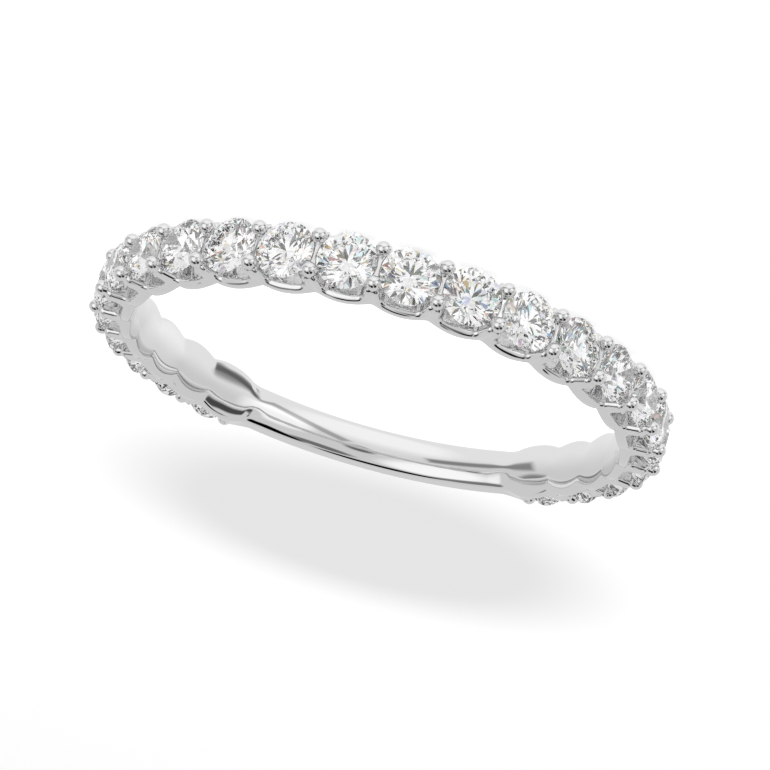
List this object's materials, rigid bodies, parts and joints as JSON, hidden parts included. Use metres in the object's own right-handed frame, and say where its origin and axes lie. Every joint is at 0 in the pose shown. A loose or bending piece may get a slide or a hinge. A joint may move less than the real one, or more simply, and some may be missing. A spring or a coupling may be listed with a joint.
{
  "type": "diamond wedding band",
  "caption": "Slim ring with a row of round brilliants in shared prongs over most of its hoop, open windows and a scalloped rail below them, and a plain shank at the back.",
  "frame": {"origin": "middle of the finger hole, on its axis and in the ring's middle plane", "axes": "+Z along the finger hole, as the ring lies on its side; -Y to the middle of the stone row, +Y to the middle of the plain shank"},
  "size_m": [0.0206, 0.02, 0.0022],
  "materials": {
    "white_gold": "14 carat white gold, rhodium plated and mirror polished",
    "diamond": "colourless diamond, brilliant cut and polished"
  },
  "bodies": {
    "root": {"band": "white_gold", "stone_01": "diamond", "stone_02": "diamond", "stone_03": "diamond", "stone_04": "diamond", "stone_05": "diamond", "stone_06": "diamond", "stone_07": "diamond", "stone_08": "diamond", "stone_09": "diamond", "stone_10": "diamond", "stone_11": "diamond", "stone_12": "diamond", "stone_13": "diamond", "stone_14": "diamond", "stone_15": "diamond", "stone_16": "diamond", "stone_17": "diamond", "stone_18": "diamond", "stone_19": "diamond", "stone_20": "diamond", "stone_21": "diamond", "stone_22": "diamond", "stone_23": "diamond", "stone_24": "diamond"}
  },
  "joints": []
}
